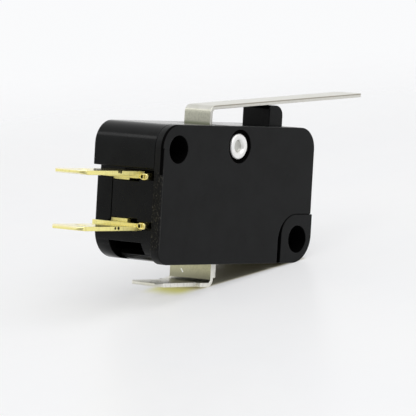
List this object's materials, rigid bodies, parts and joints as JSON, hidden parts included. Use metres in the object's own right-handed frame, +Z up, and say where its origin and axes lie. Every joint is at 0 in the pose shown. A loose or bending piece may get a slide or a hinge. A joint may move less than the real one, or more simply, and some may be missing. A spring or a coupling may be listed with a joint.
{
  "type": "snap_action_switch",
  "caption": "Miniature snap action switch with a long hinge lever, side and bottom push-on tabs and two mounting holes",
  "frame": {"origin": "On the axis of the lower right mounting hole, in the flat back face of the case", "axes": "+X along the case away from the side tabs, +Y from the cover's front face to the back face, +Z up to the plunger"},
  "size_m": [0.0503, 0.0103, 0.0229],
  "materials": {
    "case_plastic": "fine moulded black phenolic, slightly shiny at the corners",
    "cover_plastic": "matte moulded black, flat front face",
    "plunger_plastic": "matte moulded black",
    "rivet_aluminium": "bright, rolled over at the head",
    "lever_steel": "satin rolled stainless strip",
    "terminal_brass": "bright rolled brass, sheared edges",
    "terminal_plated": "dull silver plating over brass",
    "spring_copper": "rolled beryllium copper strip",
    "contact_silver": "silver alloy, lightly polished"
  },
  "bodies": {
    "housing": {"case": "case_plastic", "cover": "cover_plastic", "cover_rivet": "rivet_aluminium", "common_terminal": "terminal_plated", "nc_terminal": "terminal_brass", "no_terminal": "terminal_brass", "spring_anchor": "terminal_brass", "blade_rivet": "contact_silver", "nc_contact": "contact_silver", "no_contact": "contact_silver"},
    "lever": {"lever": "lever_steel"},
    "plunger": {"plunger": "plunger_plastic"},
    "contact_arm": {"contact_blade": "spring_copper", "snap_spring": "spring_copper", "moving_contact": "contact_silver"}
  },
  "joints": [
    {"name": "lever_hinge", "type": "hinge", "parent": "housing", "child": "lever", "pos_m": [-0.01323, -0.00515, 0.0114], "axis": [0, 1, 0], "range_deg": [0, 10], "stiffness_Nm_per_rad": 0.015, "springref_deg": -17.19},
    {"name": "plunger_slide", "type": "slide", "parent": "housing", "child": "plunger", "axis": [0, 0, -1], "range_m": [0, 0.0022]},
    {"name": "blade_flex", "type": "hinge", "parent": "housing", "child": "contact_arm", "pos_m": [-0.00115, -0.00515, 0.00365], "axis": [0, -1, 0], "range_deg": [0, 2.8], "deforming": ["contact_blade", "snap_spring"]}
  ],
  "couplings": [
    {"joint": "plunger_slide", "follows": "lever_hinge", "m_per_rad": 0.01203},
    {"joint": "blade_flex", "follows": "lever_hinge", "ratio": 0.275}
  ]
}
